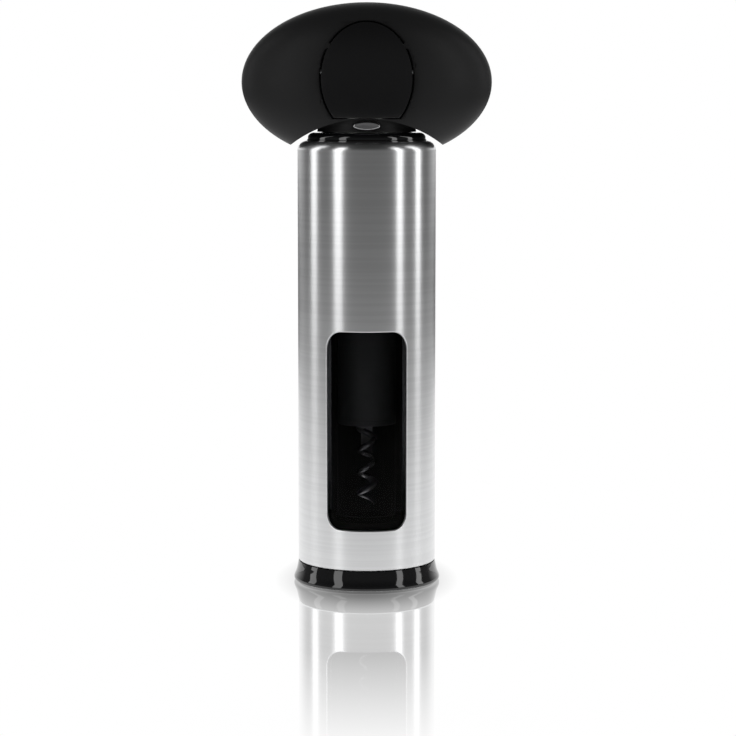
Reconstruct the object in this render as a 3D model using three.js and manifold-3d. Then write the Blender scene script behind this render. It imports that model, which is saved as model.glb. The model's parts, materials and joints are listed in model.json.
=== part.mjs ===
// Electric wine opener: an upright battery-powered corkscrew.
// Millimetres, +Z up, origin at the centre of the underside, front (window and rocker) toward -Y.
import * as THREE from 'three';
import { mergeVertices } from 'three/addons/utils/BufferGeometryUtils.js';
import Module from 'manifold-3d';

const wasm = await Module();
wasm.setup();

// ---------- driving dimensions ----------
const FIT = 0.3; // gap left between touching pieces
const FINE = 44; // facets round the barrel
const MID = 24; // facets round middle-sized parts
const SMALL = 12; // facets round pins and screws

const BARREL_R = 27;
const SLEEVE_WALL = 0.8;
const SLEEVE_IN = BARREL_R - SLEEVE_WALL;
const SLEEVE_BOTTOM = 8.3;
const SLEEVE_STRAIGHT = 170.3; // where the shoulder starts to round in
const SLEEVE_TOP = 173.7;
const SHOULDER_R = 24; // opening at the top of the shoulder

const WINDOW = { half: 15.4, z0: 24.1, z1: 101.2, corner: 6.3 };
const LENS = { margin: 1.6, inner: 24.9, outer: 26 };

const BASE_R = 28.9;
const BASE_FLOOR = 0.5; // underside of the ring, just above the foot
const FOOT = { r0: 23.6, r1: 27, top: 1.2 };
const SOCKET_R = 16.5; // clear radius for the bottle neck
const LIP_Z = 19.6; // where the bottle lip stops
const LIP_PAD_R = 12.4;
const GUIDE_TOP = 24.4;
const GUIDE_WALL = 18.5;
const BASE_SCREW = { r: 21.05, head: 1.7, shank: 1, z0: 0.8, step: 2.1, z1: 7.4, slot: 0.3 };

const TUBE = { r0: 11.8, r1: 14, z0: GUIDE_TOP + FIT, z1: 148.7, cut0: 27, cut1: 100.5 };
const CAGE = { r: 11.5, bore: 10.2, z0: 62.6, roof: 99.4, z1: 103, hole: 4.4 };
const KEY = { half: 2, z0: 92, z1: 98.6, reach: 13.4 }; // rib that stops the cage from turning
const TRAVEL = 42.6; // how far the cage slides down
const WORM = { coil: 2.75, wire: 1.35, pitch: 8.7, tip: 30, collar: 96.4, top: 98.3 };
const HEAD = { stem: 4.1, z0: 98.6, step: 104.1, r: 5.5, z1: 151.5, socket: 5.5 };
const WASHER = { r0: 4.5, r1: 7.2, z0: 98.65, z1: 99.1, thick: 0.5 };
const DRAG = { r0: 10.9, r1: 11.65, z0: 100.4, z1: 101.9 }; // rubber ring that rubs on the chassis tube
const SPINDLE = { flats: 5, z0: 100, z1: 157.6 };

const MODULE = 0.6; // gear tooth size
const TEETH = { sun: 9, planet: 21, ring: 51 };
const CENTRE = ((TEETH.sun + TEETH.planet) * MODULE) / 2; // planet pin circle
const RING_R = 17.3; // outside of the ring gear
const GEAR_Z = { ring0: 155.3, ring1: 174.1, stage2: 158.9, stage1: 167.7, width: 5 };
const PIN_R = 1.5;
const GEARBOX_PLATE = { bore: 4.9, r: 25.8, z0: 152.1, z1: 155 };
const BUSH = { r0: 3.2, r1: 4.6 };
const CARRIER_R = 11.4;
const OUTPUT_CARRIER = { z0: 155.6, z1: 158.6, pinTop: 164.3 };
const FIRST_CARRIER = { z0: 164.7, z1: 167.4, pinTop: 173.1 };

const MOTOR = { r: 13.85, z0: 177, z1: 207, wall: 1, floor: 178.5, spigot: 3.6, bell: 210.2 };
const MOTOR_PLATE = { bore: 3.9, r: 17, z0: 174.4, z1: 176.6 };
const MOTOR_SCREW = { y: 8, head: 1.8, shank: 0.9, hole: 1.2, z0: 173.35, z1: 179.6 };
const MAGNETS = { r0: 10.3, r1: 12.4, z0: 181, z1: 203, cut: 3 };
const SHAFT = { r: 1, bore: 1.3, z0: 168, z1: 211 };
const ROTOR = { core: 4, arm: 1.6, face: 7.2, r: 9.6, z0: 184, z1: 199.5, brush: 3.2 };
const TERMINAL = { x: 10, half: 2, top: 212.5 };
const CELL = { r: 5.25, ring: 20, z0: 105.4, z1: 147.6, button: 1.9 };
const TRAY = { r: 25.9, lowBore: 14.3, low0: 103.2, low1: 105.1, highBore: 6.1, high0: 149, high1: 151 };
const JACK = { z: 125, half: 4.4, tall: 5.5, y0: 14.6, y1: 25.6, y2: 26.8, nose: 3.9, bore: 3.1, pin: 0.9 };

const CAP = { r: 23, skirt: 25.4, step: 23.4, z0: 165, z1: 167.6, top: 177, bore: 17.8 };
const NECK = { r: 19.3, bore: 17.7, z0: CAP.top + FIT, z1: 187 };
const HANDLE = { a: 48.75, c: 30.75, z: 196.5, depth: 21, wall: 2.2, taper: 0.3 };
const NOTCH = { z: 134.9, r: 47.6 }; // round cut under the wings
const PAD = { a: 17.4, c: 21.4, z: 197.85, cut: 182.9, proud: 2.2, gap: 0.5, thick: 2.2 };
const COLLAR_WALL = 1.6;
const PIVOT = { y: -16.9, z: 200.4, r: 1, pin: 40, hole: 46 };
const SWITCH = { offset: 11, half: 3, back: -15.6, front: -17.5, stem: 1.4, tip: -18.9 };
const BOARD = { half: 9, z0: 186.3, z1: 214.3, y0: -15.3, y1: -14.15 };
const BOSS = { x: 31, r: 3.4, head: 2.7, shank: 1.2, floor: 7 }; // handle screw bosses
const LUG = { x: 11.5, half: 1.5, tall: 2.2, back: 2.1 }; // ears of the rocker that carry its pin
const NUB_R = 1.6; // rocker pegs that press the plungers
const OVAL = { a: 5.2, c: 1.65, z: 179.8, front: -20.7, back: -18 };

// ---------- materials ----------
const finish = (color, roughness, metalness) => ({ color, roughness, metalness });
const BRUSHED_STEEL = finish(0xb9bbbd, 0.34, 1);
const CHROME = finish(0xd4d6d8, 0.12, 1);
const SCREW_STEEL = finish(0x8d9094, 0.35, 1);
const WORM_STEEL = finish(0x9a9da1, 0.25, 1);
const MOTOR_STEEL = finish(0xa2a49f, 0.45, 1);
const BRASS = finish(0xb58d42, 0.35, 1);
const GLOSS_BLACK = finish(0x0b0b0c, 0.08, 0);
const SOFT_BLACK = finish(0x161617, 0.5, 0);
const INNER_BLACK = finish(0x101011, 0.55, 0);
const CAGE_GREY = finish(0x2b2b2c, 0.4, 0);
const SMOKED = finish(0x1a1a1c, 0.05, 0);
const RUBBER = finish(0x141414, 0.85, 0);
const ACETAL = finish(0xe6e2d6, 0.45, 0);
const GEAR_NYLON = finish(0xc9c4b4, 0.5, 0);
const MAGNET = finish(0x3a3b3d, 0.6, 0.3);
const BOARD_GREEN = finish(0x1c5a38, 0.5, 0);
const CELL_WRAP = finish(0x2f6f9c, 0.4, 0);

// ---------- shape helpers ----------
// A closed solid from a three.js geometry; doubled vertices are joined and empty triangles dropped.
function solid(geometry) {
  geometry.deleteAttribute('normal');
  geometry.deleteAttribute('uv');
  const merged = mergeVertices(geometry, 1e-4);
  const at = merged.attributes.position;
  const index = merged.index.array;
  const corner = [new THREE.Vector3(), new THREE.Vector3(), new THREE.Vector3()];
  const kept = [];
  let volume = 0;
  for (let i = 0; i < index.length; i += 3) {
    const [a, b, c] = [index[i], index[i + 1], index[i + 2]];
    if (a === b || b === c || c === a) continue;
    [a, b, c].forEach((v, k) => corner[k].fromBufferAttribute(at, v));
    volume += corner[0].dot(corner[1].clone().cross(corner[2]));
    kept.push(a, b, c);
  }
  if (volume < 0) {
    for (let i = 0; i < kept.length; i += 3) [kept[i], kept[i + 1]] = [kept[i + 1], kept[i]];
  }
  const mesh = new wasm.Mesh({
    numProp: 3,
    vertProperties: new Float32Array(at.array),
    triVerts: new Uint32Array(kept),
  });
  return new wasm.Manifold(mesh);
}

// Cylinder (or hexagon, with six sides) standing on z0 and ending at z1.
function cyl(r, z0, z1, sides = MID, x = 0, y = 0, rTop = r) {
  const shape = new THREE.CylinderGeometry(rTop, r, z1 - z0, sides);
  return solid(shape.rotateX(Math.PI / 2).translate(x, y, (z0 + z1) / 2));
}

// Cylinder lying along Y from y0 to y1.
function rod(r, y0, y1, x, z, sides = SMALL) {
  return solid(new THREE.CylinderGeometry(r, r, y1 - y0, sides).translate(x, (y0 + y1) / 2, z));
}

function tube(r0, r1, z0, z1, sides = MID) {
  return cyl(r1, z0, z1, sides).subtract(cyl(r0, z0 - 1, z1 + 1, sides));
}

function box(x0, x1, y0, y1, z0, z1) {
  const shape = new THREE.BoxGeometry(x1 - x0, y1 - y0, z1 - z0);
  return solid(shape.translate((x0 + x1) / 2, (y0 + y1) / 2, (z0 + z1) / 2));
}

// Solid of revolution about Z from a closed list of [radius, z] corners.
function revolve(corners, sides = FINE) {
  const points = [...corners, corners[0]].map(([r, z]) => new THREE.Vector2(r, z));
  return solid(new THREE.LatheGeometry(points, sides).rotateX(Math.PI / 2));
}

const acrossFlats = (flats) => flats / 2 / Math.cos(Math.PI / 6);

// Flat outline in X and Z, pushed through from y0 to y1.
function pushThrough(shape, y0, y1, curveSegments = 8) {
  const block = new THREE.ExtrudeGeometry(shape, { depth: y1 - y0, bevelEnabled: false, curveSegments });
  return solid(block.rotateX(Math.PI / 2).translate(0, y1, 0));
}

function roundedWindow(half, z0, z1, r) {
  const s = new THREE.Shape();
  s.moveTo(-half + r, z0).lineTo(half - r, z0).absarc(half - r, z0 + r, r, -Math.PI / 2, 0);
  s.lineTo(half, z1 - r).absarc(half - r, z1 - r, r, 0, Math.PI / 2);
  s.lineTo(-half + r, z1).absarc(-half + r, z1 - r, r, Math.PI / 2, Math.PI);
  s.lineTo(-half, z0 + r).absarc(-half + r, z0 + r, r, Math.PI, Math.PI * 1.5);
  return s;
}

function ellipse(a, c, z, sides = 32) {
  const turn = (i) => (i / sides) * Math.PI * 2;
  const at = (i) => new THREE.Vector2(a * Math.cos(turn(i)), z + c * Math.sin(turn(i)));
  return new THREE.Shape(Array.from({ length: sides }, (_, i) => at(i)));
}

// ---------- foot, base and bottle guide ----------
const footRing = () => tube(FOOT.r0, FOOT.r1, 0, FOOT.top, FINE);

function baseScrewSpots() {
  return [0, 1, 2].map((i) => {
    const turn = Math.PI / 2 + (i * 2 * Math.PI) / 3;
    return [BASE_SCREW.r * Math.cos(turn), BASE_SCREW.r * Math.sin(turn)];
  });
}

function baseRing() {
  const bore = GUIDE_WALL + FIT;
  let ring = revolve([
    [bore, BASE_FLOOR], [FOOT.r0 - FIT, BASE_FLOOR], [FOOT.r0 - FIT, FOOT.top + FIT],
    [FOOT.r1 + FIT, FOOT.top + FIT], [FOOT.r1 + FIT, BASE_FLOOR], [28.5, BASE_FLOOR], [BASE_R, 1],
    [BASE_R, 1.8], [28.1, 3.6], [27.4, 5.8], [27, 8], [25.8, 8], [25.8, 12], [24.2, 12], [24.2, 5], [bore, 5],
  ]);
  for (const [x, y] of baseScrewSpots()) {
    ring = ring.subtract(cyl(BASE_SCREW.head + FIT, 0, BASE_SCREW.step + FIT, SMALL, x, y));
    ring = ring.subtract(cyl(BASE_SCREW.shank + FIT, 0, 6, SMALL, x, y));
  }
  return ring;
}

function bottleGuide() {
  let guide = revolve([
    [SOCKET_R + 1.2, BASE_FLOOR], [GUIDE_WALL, BASE_FLOOR], [GUIDE_WALL, 5.3], [23.8, 5.3], [23.8, 8],
    [GUIDE_WALL, 8], [GUIDE_WALL, 20.8], [24.2, 20.8], [24.2, GUIDE_TOP], [12.2, GUIDE_TOP],
    [12.2, 20.8], [SOCKET_R, 20.8], [SOCKET_R, 3],
  ], 36);
  for (const [x, y] of baseScrewSpots()) {
    guide = guide.subtract(cyl(BASE_SCREW.shank + FIT, 4, 9, 12, x, y));
  }
  return guide;
}

const lipPadRing = () => tube(LIP_PAD_R, SOCKET_R - FIT, LIP_Z, 20.5, MID);

function baseScrew([x, y]) {
  const { head, shank, z0, step, z1, slot } = BASE_SCREW;
  const groove = box(x - 1.1, x + 1.1, y - slot, y + slot, z0 - 0.3, z0 + 0.6);
  return cyl(head, z0, step, SMALL, x, y).add(cyl(shank, step - 0.1, z1, 10, x, y)).subtract(groove);
}

// ---------- sleeve and window ----------
function steelSleeve() {
  const sleeve = revolve([
    [BARREL_R - 0.3, SLEEVE_BOTTOM], [BARREL_R, SLEEVE_BOTTOM + 0.3],
    [BARREL_R, SLEEVE_STRAIGHT], [26.7, SLEEVE_STRAIGHT + 1.4], [25.9, SLEEVE_TOP - 0.8], [24.8, SLEEVE_TOP - 0.1],
    [SHOULDER_R, SLEEVE_TOP], [SHOULDER_R, SLEEVE_TOP - 0.8], [25.2, SLEEVE_TOP - 1.3],
    [25.9, SLEEVE_STRAIGHT + 1.1], [SLEEVE_IN, SLEEVE_STRAIGHT - 0.2], [SLEEVE_IN, SLEEVE_BOTTOM],
  ]);
  const opening = roundedWindow(WINDOW.half, WINDOW.z0, WINDOW.z1, WINDOW.corner);
  const jackHole = rod(JACK.nose + FIT, 20, 30, 0, JACK.z, 24);
  return sleeve.subtract(pushThrough(opening, -30, -15)).subtract(jackHole);
}

function windowLens() {
  const m = LENS.margin;
  const outline = roundedWindow(WINDOW.half + m, WINDOW.z0 - m, WINDOW.z1 + m, WINDOW.corner + m);
  const shell = tube(LENS.inner, LENS.outer, WINDOW.z0 - 5, WINDOW.z1 + 5, FINE);
  return shell.intersect(pushThrough(outline, -30, -10));
}

// ---------- cork cage, worm and drive ----------
function chassisTube() {
  const front = box(-16, 16, -16, -1.5, TUBE.cut0, TUBE.cut1);
  const keySlot = box(-KEY.half - FIT, KEY.half + FIT, 8, 16, KEY.z0 - TRAVEL - 1, KEY.z1 + 0.8);
  return tube(TUBE.r0, TUBE.r1, TUBE.z0, TUBE.z1, 32).subtract(front).subtract(keySlot);
}

function corkCage() {
  const body = revolve([
    [CAGE.bore, CAGE.z0 + 0.6], [CAGE.bore + 0.5, CAGE.z0], [CAGE.r - 0.2, CAGE.z0], [CAGE.r, CAGE.z0 + 0.3],
    [CAGE.r, DRAG.z0 - FIT], [DRAG.r0 - FIT, DRAG.z0 - FIT], [DRAG.r0 - FIT, DRAG.z1 + FIT],
    [CAGE.r, DRAG.z1 + FIT], [CAGE.r, CAGE.z1],
    [CAGE.hole, CAGE.z1], [CAGE.hole, CAGE.roof], [CAGE.bore, CAGE.roof],
  ], 36);
  return body.add(box(-KEY.half, KEY.half, 11, KEY.reach, KEY.z0, KEY.z1));
}

const cageDragRing = () => tube(DRAG.r0, DRAG.r1, DRAG.z0, DRAG.z1, 32);

// Round wire wound into an open helix, with a welded collar at the top and a ground point at the tip.
function worm() {
  const turns = (WORM.collar + 0.8 - WORM.tip) / WORM.pitch;
  class Helix extends THREE.Curve {
    getPoint(t, target = new THREE.Vector3()) {
      const a = t * turns * Math.PI * 2;
      return target.set(WORM.coil * Math.cos(a), WORM.coil * Math.sin(a), WORM.tip + t * turns * WORM.pitch);
    }
  }
  const section = new THREE.Shape();
  section.absarc(0, 0, WORM.wire, 0, Math.PI * 2);
  const steps = Math.round(turns * 11);
  const wire = new THREE.ExtrudeGeometry(section, { steps, extrudePath: new Helix(), curveSegments: 4 });
  const point = new THREE.Shape();
  point.moveTo(-8, 24).lineTo(8, 24).lineTo(8, 27.5).lineTo(-8, 33.5);
  return solid(wire).subtract(pushThrough(point, -8, 8)).add(cyl(HEAD.r, WORM.collar, WORM.top, 24));
}

function wormHead() {
  const outside = cyl(HEAD.stem, HEAD.z0, HEAD.step + 0.5, 24).add(cyl(HEAD.r, HEAD.step, HEAD.z1, 24));
  return outside.subtract(cyl(acrossFlats(HEAD.socket), HEAD.z0 + 1, HEAD.z1 + 1, 6));
}

const wormWasherLower = () => tube(WASHER.r0, WASHER.r1, WASHER.z0, WASHER.z1, 24);
const wormWasherUpper = () => tube(WASHER.r0, WASHER.r1, CAGE.z1 + FIT, CAGE.z1 + FIT + WASHER.thick, 24);
const driveSpindle = () => cyl(acrossFlats(SPINDLE.flats), SPINDLE.z0, SPINDLE.z1, 6);

// ---------- gearbox ----------
// Outline of a straight-sided gear; the same outline, a little larger, cuts the ring gear.
function gearOutline(teeth, addendum, dedendum, tipWidth, rootWidth, phase) {
  const pitch = (teeth * MODULE) / 2;
  const step = (Math.PI * 2) / teeth;
  const s = new THREE.Shape();
  for (let i = 0; i < teeth; i += 1) {
    const mid = phase + i * step;
    const spots = [
      [pitch - dedendum, -rootWidth], [pitch + addendum, -tipWidth],
      [pitch + addendum, tipWidth], [pitch - dedendum, rootWidth],
    ];
    for (const [r, w] of spots) {
      const a = mid + w * step;
      const [x, y] = [r * Math.cos(a), r * Math.sin(a)];
      if (i === 0 && w === -rootWidth) s.moveTo(x, y);
      else s.lineTo(x, y);
    }
  }
  s.closePath();
  return s;
}

function gearBlank(outline, z0, z1) {
  const block = new THREE.ExtrudeGeometry(outline, { depth: z1 - z0, bevelEnabled: false });
  return solid(block.translate(0, 0, z0));
}

const sunOutline = () => gearOutline(TEETH.sun, 0.5, 0.62, 0.09, 0.25, 0);
const planetOutline = () => gearOutline(TEETH.planet, 0.42, 0.66, 0.09, 0.27, Math.PI / TEETH.planet);

// Planet pins sit at thirds of a turn; each planet is turned so that a gap faces a tooth of the sun.
function pinSpots() {
  return [0, 1, 2].map((i) => {
    const turn = (i * 2 * Math.PI) / 3;
    return { x: CENTRE * Math.cos(turn), y: CENTRE * Math.sin(turn), turn };
  });
}

function planet(z0, { x, y, turn }) {
  const roll = turn + Math.PI;
  const bore = cyl(PIN_R + FIT, z0 - 1, z0 + 6, SMALL);
  const blank = gearBlank(planetOutline(), z0, z0 + GEAR_Z.width).subtract(bore);
  return blank.rotate([0, 0, THREE.MathUtils.radToDeg(roll)]).translate([x, y, 0]);
}

function ringGear() {
  const bore = gearOutline(TEETH.ring, 0.62, 0.42, 0.23, 0.41, 0);
  return cyl(RING_R, GEAR_Z.ring0, GEAR_Z.ring1, 36).subtract(gearBlank(bore, 150, 180));
}

function carrier({ z0, z1, pinTop }) {
  let plate = cyl(CARRIER_R, z0, z1, MID);
  for (const { x, y } of pinSpots()) plate = plate.add(cyl(PIN_R, z1 - 0.5, pinTop, 12, x, y));
  return plate;
}

function outputCarrier() {
  const plate = carrier(OUTPUT_CARRIER);
  return plate.subtract(cyl(acrossFlats(SPINDLE.flats + 2 * FIT), 150, 160, 6));
}

function firstCarrier() {
  return carrier(FIRST_CARRIER).add(gearBlank(sunOutline(), GEAR_Z.stage2, FIRST_CARRIER.z0 + 0.3));
}

function motorPinion() {
  return gearBlank(sunOutline(), GEAR_Z.stage1, 173.2).subtract(cyl(SHAFT.bore, 160, 180, 12));
}

function gearboxBottomPlate() {
  const { bore, r, z0, z1 } = GEARBOX_PLATE;
  return tube(bore, r, z0, z1, 36);
}

const outputBush = () => tube(BUSH.r0, BUSH.r1, GEARBOX_PLATE.z0, GEARBOX_PLATE.z1, SMALL);

// ---------- motor ----------
const screwSpots = [[0, MOTOR_SCREW.y], [0, -MOTOR_SCREW.y]];

function motorPlate() {
  let plate = tube(MOTOR_PLATE.bore, MOTOR_PLATE.r, MOTOR_PLATE.z0, MOTOR_PLATE.z1, MID);
  for (const [x, y] of screwSpots) plate = plate.subtract(cyl(MOTOR_SCREW.hole, 170, 180, 12, x, y));
  return plate;
}

function motorScrew([x, y]) {
  const { head, shank, z0, z1 } = MOTOR_SCREW;
  return cyl(head, z0, z0 + 0.75, 12, x, y).add(cyl(shank, z0 + 0.65, z1, 10, x, y));
}

function motorCan() {
  let can = cyl(MOTOR.r, MOTOR.z0, MOTOR.z1, 30).subtract(cyl(MOTOR.r - MOTOR.wall, MOTOR.floor, 210, 30));
  can = can.add(cyl(MOTOR.spigot, 175, 178, SMALL)).subtract(cyl(SHAFT.bore, 170, 180, SMALL));
  for (const [x, y] of screwSpots) can = can.subtract(cyl(MOTOR_SCREW.hole, 170, 180, 12, x, y));
  return can;
}

function motorMagnet(side) {
  const { r0, r1, z0, z1, cut } = MAGNETS;
  const arc = tube(r0, r1, z0, z1, 30);
  const keep = side > 0 ? box(cut, 14, -10, 10, z0 - 1, z1 + 1) : box(-14, -cut, -10, 10, z0 - 1, z1 + 1);
  return arc.intersect(keep);
}

function motorRotor() {
  const { core, arm, face, r, z0, z1, brush } = ROTOR;
  let rotor = cyl(SHAFT.r, SHAFT.z0, SHAFT.z1, 8).add(cyl(brush, 203.5, 206.5, SMALL));
  rotor = rotor.add(cyl(core, z0 - 0.5, z1 + 0.5, SMALL));
  for (let i = 0; i < 3; i += 1) {
    const tooth = tube(face, r, z0, z1, MID).intersect(box(3, 10, -5, 5, z0, z1));
    rotor = rotor.add(box(0, 8, -arm, arm, z0, z1).add(tooth).rotate([0, 0, i * 120 + 30]));
  }
  return rotor;
}

function motorEndBell() {
  const { x, half, top } = TERMINAL;
  let bell = tube(SHAFT.bore, MOTOR.r, MOTOR.z1 + FIT, MOTOR.bell, 30).subtract(cyl(5, 200, 209, SMALL));
  for (const s of [-x, x]) bell = bell.add(box(s - 1, s + 1, -half, half, MOTOR.bell - 0.2, top));
  return bell;
}

// ---------- battery and charging inlet ----------
function batteryCell(i) {
  const turn = Math.PI / 4 + (i * Math.PI) / 2;
  const [x, y] = [CELL.ring * Math.cos(turn), CELL.ring * Math.sin(turn)];
  const button = cyl(CELL.button, CELL.z1 - 0.5, CELL.z1 + 0.8, 12, x, y);
  const cell = cyl(CELL.r, CELL.z0, CELL.z1, 20, x, y).add(button);
  return i % 2 ? cell.translate([0, 0, 0.2]) : cell;
}

const batteryTrayLower = () => tube(TRAY.lowBore, TRAY.r, TRAY.low0, TRAY.low1, 36);
const batteryTrayUpper = () => tube(TRAY.highBore, TRAY.r, TRAY.high0, TRAY.high1, 36);

function dcJack() {
  const { half, tall, y0, y1, y2, z } = JACK;
  const body = box(-half, half, y0, y1 - 1, z - tall, z + tall).intersect(cyl(25.4, z - 8, z + 8, FINE));
  return body.add(rod(JACK.nose, y1 - 4, y2, 0, z, 24)).subtract(rod(JACK.bore, y0 + 2, 30, 0, z, 20));
}

const dcJackPin = () => rod(JACK.pin, JACK.y0 + 2 + FIT, 25, 0, JACK.z, 12);

// ---------- cap, handle and rocker ----------
function topCap() {
  return revolve([
    [CAP.bore, CAP.z0], [CAP.skirt, CAP.z0], [CAP.skirt, CAP.z1], [CAP.step, CAP.z1], [CAP.step, 174.2],
    [CAP.r, 174.5], [CAP.r, 175.4], [22.4, 176.4], [21.2, CAP.top], [CAP.bore, CAP.top],
  ]);
}

// Pebble shape: an elliptical disc in X and Z, thinner in Y toward the rim and the wing tips.
function pebble(grow, steps, sides) {
  const radius = HANDLE.c + grow;
  const points = [];
  for (let i = 0; i <= steps; i += 1) {
    const turn = (i / steps) * Math.PI;
    const r = radius * Math.sin(turn) ** 0.72;
    const y = -(HANDLE.depth + grow) * Math.sign(Math.cos(turn)) * Math.abs(Math.cos(turn)) ** 0.92;
    points.push(new THREE.Vector2(i === 0 || i === steps ? 0 : r, y));
  }
  const shape = new THREE.LatheGeometry(points, sides).scale((HANDLE.a + grow) / radius, 1, 1);
  const at = shape.attributes.position;
  for (let i = 0; i < at.count; i += 1) {
    at.setY(i, at.getY(i) * (1 - HANDLE.taper * (at.getX(i) / HANDLE.a) ** 2));
  }
  return solid(shape.translate(0, 0, HANDLE.z));
}

const ovalBlock = (grow, y0, y1) => pushThrough(ellipse(PAD.a + grow, PAD.c + grow, PAD.z), y0, y1)
  .intersect(box(-40, 40, y0, y1, PAD.cut - grow, 240));

const silverOval = (grow, y0, y1) => pushThrough(ellipse(OVAL.a + grow, OVAL.c + grow, OVAL.z, 24), y0, y1);

// Rod along X through the rocker's pivot.
function pivotRod(r, length) {
  const shape = new THREE.CylinderGeometry(r, r, length, 12).rotateZ(Math.PI / 2);
  return solid(shape.translate(0, PIVOT.y, PIVOT.z));
}

// Whole handle before it is split: hollow pebble, notch under the wings, neck, pad collar and screw bosses.
function handleBody() {
  const inside = pebble(-HANDLE.wall, 10, 28);
  const notch = rod(NOTCH.r, -30, 30, 0, NOTCH.z, 72);
  const innerNotch = rod(NOTCH.r + HANDLE.wall, -30, 30, 0, NOTCH.z, 72);
  let body = pebble(0, 16, 44).subtract(notch).add(cyl(NECK.r, NECK.z0, NECK.z1, 36));
  body = body.subtract(inside.subtract(innerNotch)).subtract(cyl(NECK.bore, 170, NECK.z1 - 1, 36));
  const hole = ovalBlock(PAD.gap, -40, -10);
  const collar = ovalBlock(PAD.gap + COLLAR_WALL, -40, -14.5).subtract(hole);
  body = body.subtract(hole).add(collar.intersect(pebble(-0.4, 12, 32)));
  for (const x of [-BOSS.x, BOSS.x]) {
    body = body.add(rod(BOSS.r, -30, 30, x, HANDLE.z, SMALL).intersect(pebble(-0.5, 12, 32)));
    body = body.subtract(rod(BOSS.head, BOSS.floor, 30, x, HANDLE.z));
    body = body.subtract(rod(BOSS.shank, -9, 30, x, HANDLE.z, 8));
  }
  return body.subtract(pivotRod(PIVOT.r + FIT, PIVOT.hole)).subtract(silverOval(FIT, -24, -17));
}

const whole = handleBody();
const handleFrontShell = () => whole.intersect(box(-60, 60, -40, -FIT / 2, 160, 240));
const handleRearShell = () => whole.intersect(box(-60, 60, FIT / 2, 40, 160, 240));

function handleScrew(x) {
  return rod(2.3, 7.3, 9, x, HANDLE.z, 14).add(rod(0.9, -8, 7.5, x, HANDLE.z, 10));
}

function rockerPad() {
  const skin = pebble(PAD.proud, 16, 44).subtract(pebble(PAD.proud - PAD.thick, 12, 32));
  let pad = skin.intersect(ovalBlock(0, -40, -10));
  for (const s of [-1, 1]) {
    const [x0, x1] = [s * LUG.x - LUG.half, s * LUG.x + LUG.half];
    const lug = box(x0, x1, -22, PIVOT.y + LUG.back, PIVOT.z - LUG.tall, PIVOT.z + LUG.tall);
    const nub = rod(NUB_R, -22, SWITCH.tip - FIT, 0, PIVOT.z + s * SWITCH.offset, 12);
    pad = pad.add(lug.add(nub).intersect(pebble(1, 12, 32)));
  }
  return pad.subtract(pivotRod(PIVOT.r + FIT, PIVOT.hole));
}

const rockerPin = () => pivotRod(PIVOT.r, PIVOT.pin);

const switchBoard = () => box(-BOARD.half, BOARD.half, BOARD.y0, BOARD.y1, BOARD.z0, BOARD.z1);

function switchBody(side) {
  const z = PIVOT.z + side * SWITCH.offset;
  const body = box(-SWITCH.half, SWITCH.half, SWITCH.front, SWITCH.back, z - SWITCH.half, z + SWITCH.half);
  return body.subtract(rod(SWITCH.stem + FIT, -20, SWITCH.back - 0.5, 0, z, 14));
}

function plunger(side) {
  const z = PIVOT.z + side * SWITCH.offset;
  return rod(SWITCH.stem, SWITCH.tip, SWITCH.back - 1.4, 0, z, 12);
}

const indicatorBezel = () => silverOval(0, OVAL.front, OVAL.back);

// ---------- assembly ----------
const group = new THREE.Group();
group.name = 'electric_wine_opener';

function put(name, manifold, look) {
  const source = manifold.getMesh();
  const shape = new THREE.BufferGeometry();
  shape.setAttribute('position', new THREE.BufferAttribute(new Float32Array(source.vertProperties), 3));
  shape.setIndex(new THREE.BufferAttribute(new Uint32Array(source.triVerts), 1));
  const flat = shape.toNonIndexed();
  flat.computeVertexNormals();
  const mesh = new THREE.Mesh(flat, new THREE.MeshStandardMaterial(look));
  mesh.name = name;
  group.add(mesh);
}

put('foot_ring', footRing(), RUBBER);
put('base_ring', baseRing(), GLOSS_BLACK);
put('bottle_guide', bottleGuide(), INNER_BLACK);
put('lip_pad_ring', lipPadRing(), RUBBER);
baseScrewSpots().forEach((spot, i) => put(`base_screw_${i + 1}`, baseScrew(spot), SCREW_STEEL));
put('steel_sleeve', steelSleeve(), BRUSHED_STEEL);
put('window_lens', windowLens(), SMOKED);
put('chassis_tube', chassisTube(), INNER_BLACK);
put('cork_cage', corkCage(), CAGE_GREY);
put('cage_drag_ring', cageDragRing(), RUBBER);
put('worm', worm(), WORM_STEEL);
put('worm_head', wormHead(), WORM_STEEL);
put('worm_washer_lower', wormWasherLower(), ACETAL);
put('worm_washer_upper', wormWasherUpper(), ACETAL);
put('drive_spindle', driveSpindle(), WORM_STEEL);
put('gearbox_bottom_plate', gearboxBottomPlate(), INNER_BLACK);
put('output_bush', outputBush(), BRASS);
put('ring_gear', ringGear(), INNER_BLACK);
put('output_carrier', outputCarrier(), MOTOR_STEEL);
put('first_carrier', firstCarrier(), MOTOR_STEEL);
pinSpots().forEach((spot, i) => {
  put(`planet_2_${'abc'[i]}`, planet(GEAR_Z.stage2, spot), GEAR_NYLON);
  put(`planet_1_${'abc'[i]}`, planet(GEAR_Z.stage1, spot), GEAR_NYLON);
});
put('motor_pinion', motorPinion(), BRASS);
put('motor_plate', motorPlate(), MOTOR_STEEL);
screwSpots.forEach((spot, i) => put(`motor_screw_${i + 1}`, motorScrew(spot), SCREW_STEEL));
put('motor_can', motorCan(), MOTOR_STEEL);
put('motor_magnet_left', motorMagnet(-1), MAGNET);
put('motor_magnet_right', motorMagnet(1), MAGNET);
put('motor_rotor', motorRotor(), MOTOR_STEEL);
put('motor_end_bell', motorEndBell(), INNER_BLACK);
for (let i = 0; i < 4; i += 1) put(`battery_cell_${i + 1}`, batteryCell(i), CELL_WRAP);
put('battery_tray_lower', batteryTrayLower(), INNER_BLACK);
put('battery_tray_upper', batteryTrayUpper(), INNER_BLACK);
put('dc_jack', dcJack(), INNER_BLACK);
put('dc_jack_pin', dcJackPin(), BRASS);
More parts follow.
